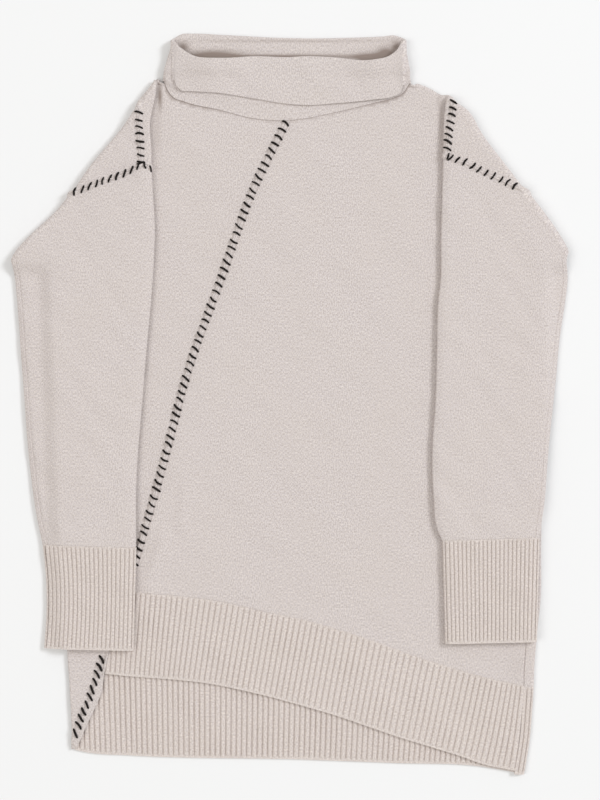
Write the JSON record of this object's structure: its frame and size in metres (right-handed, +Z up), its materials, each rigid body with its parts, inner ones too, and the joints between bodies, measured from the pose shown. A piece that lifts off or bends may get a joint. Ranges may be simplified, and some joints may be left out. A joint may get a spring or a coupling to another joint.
{
  "type": "sweater",
  "caption": "Long knitted sweater with a rolled collar and a slanting seamed front, laid flat with its sleeves folded in",
  "frame": {"origin": "centre of the laid garment's outline, on the surface that it lies on", "axes": "+X to the garment's right side as seen from above, +Y from the hem to the collar, +Z up off the surface"},
  "size_m": [0.6122, 0.8156, 0.0118],
  "materials": {
    "plain_knit": "soft heathered beige plain knit, matt, faint halo of fibres",
    "rib_knit": "soft heathered beige rib knit, matt",
    "stitch_yarn": "near-black wool yarn, hand whip stitches"
  },
  "bodies": {
    "root": {"back_panel": "plain_knit", "front_left_panel": "plain_knit", "front_right_panel": "plain_knit", "sleeve_left": "plain_knit", "sleeve_right": "plain_knit", "collar": "plain_knit", "front_hem_rib": "rib_knit", "back_hem_rib": "rib_knit", "cuff_left": "rib_knit", "cuff_right": "rib_knit"}
  },
  "joints": []
}
